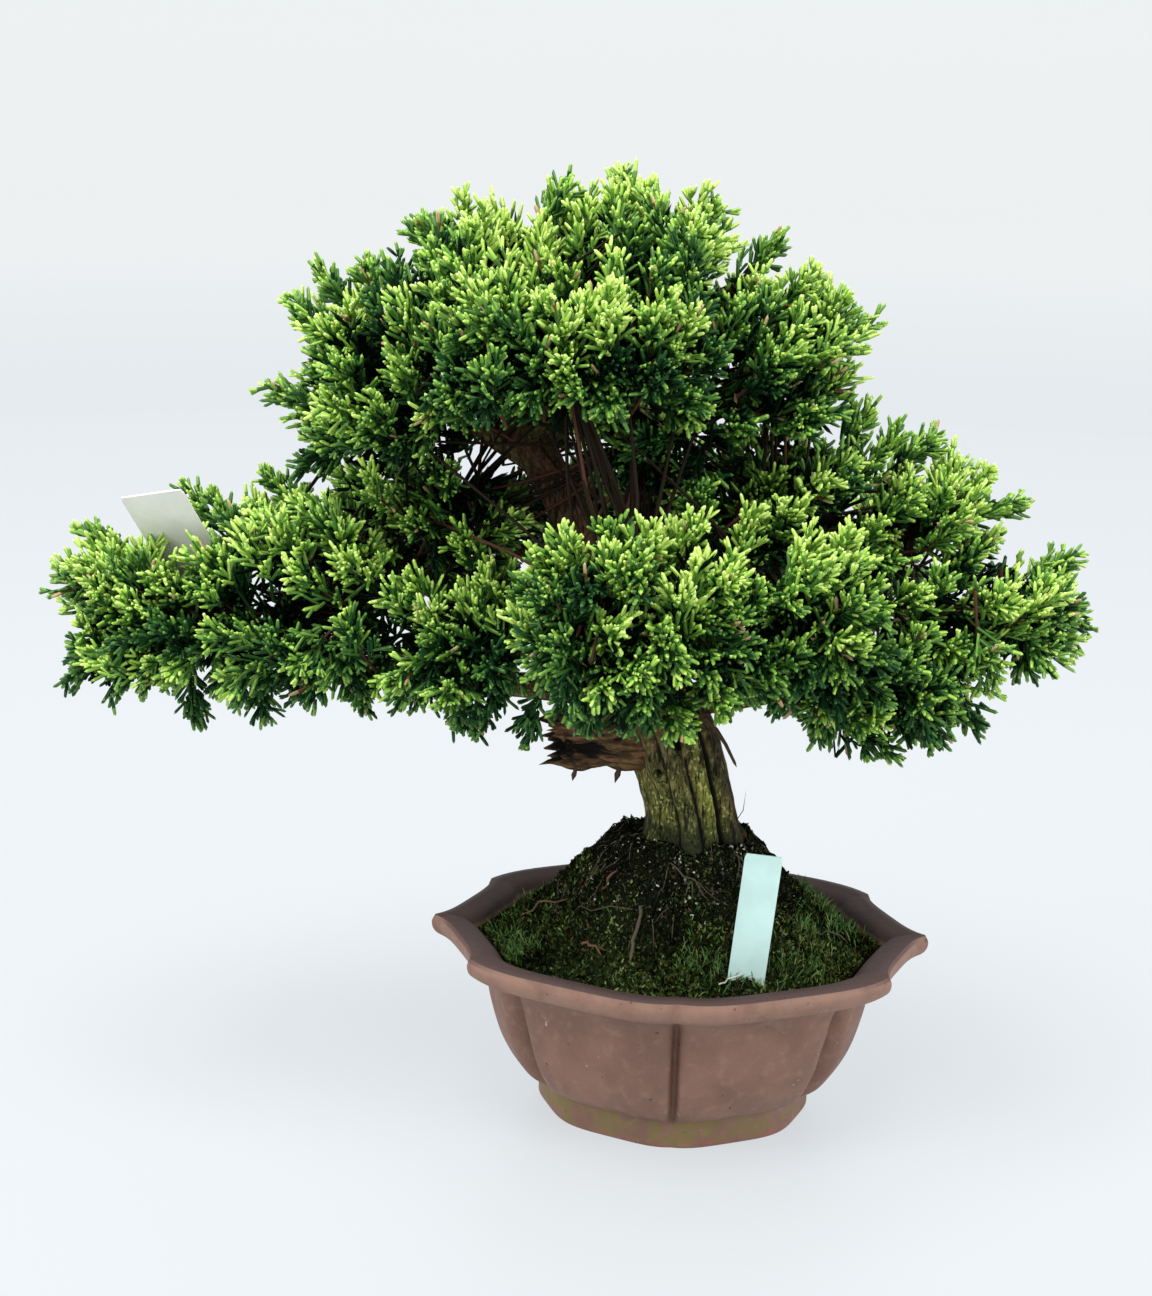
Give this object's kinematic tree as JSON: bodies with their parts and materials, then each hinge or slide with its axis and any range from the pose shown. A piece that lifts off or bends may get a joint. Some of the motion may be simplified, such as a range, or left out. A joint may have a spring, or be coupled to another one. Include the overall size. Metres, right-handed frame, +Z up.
{
  "type": "chinese juniper bonsai in a pot",
  "caption": "Small trained evergreen with a leaning trunk, spreading boughs and dense cushions of scale foliage, in a lobed unglazed stoneware pot.",
  "frame": {"origin": "middle of the pot's flat underside", "axes": "+Z up along the pot's own axis, +X to the right of the front view along the pot's length, -Y towards the viewer"},
  "size_m": [0.466, 0.2563, 0.4335],
  "materials": {
    "stoneware": "unglazed, purple-brown, slightly worn",
    "moss": "damp moss and dark earth",
    "bark": "fluted bark, olive with moss",
    "deadwood": "rough broken brown wood",
    "foliage": "scale foliage, dark green with yellow-green tips",
    "label": "satin mint plastic",
    "tag": "satin white plastic"
  },
  "bodies": {
    "root": {"pot": "stoneware", "soil": "moss", "trunk": "bark", "dead_stub": "deadwood", "bough_left": "bark", "bough_left_inner": "bark", "bough_left_back": "bark", "bough_right": "bark", "bough_right_back": "bark", "bough_front": "bark", "bough_front_right": "bark", "bough_back": "bark", "bough_upper_right": "bark", "bough_mid_left": "bark", "bough_crown_left": "bark", "bough_crown_right": "bark", "bough_crown_front": "bark", "bough_crown_back": "bark", "foliage_left_tip": "foliage", "foliage_left_middle": "foliage", "foliage_left_back": "foliage", "foliage_left_inner": "foliage", "foliage_middle_left": "foliage", "foliage_front": "foliage", "foliage_front_right": "foliage", "foliage_right_tip": "foliage", "foliage_right_low": "foliage", "foliage_right_upper": "foliage", "foliage_right_back": "foliage", "foliage_centre_right": "foliage", "foliage_back": "foliage", "foliage_crown_left": "foliage", "foliage_crown_top_left": "foliage", "foliage_crown_top": "foliage", "foliage_crown_right": "foliage", "foliage_crown_front": "foliage", "foliage_crown_low": "foliage", "foliage_crown_back": "foliage", "plant_label": "label", "price_tag": "tag"}
  },
  "joints": []
}
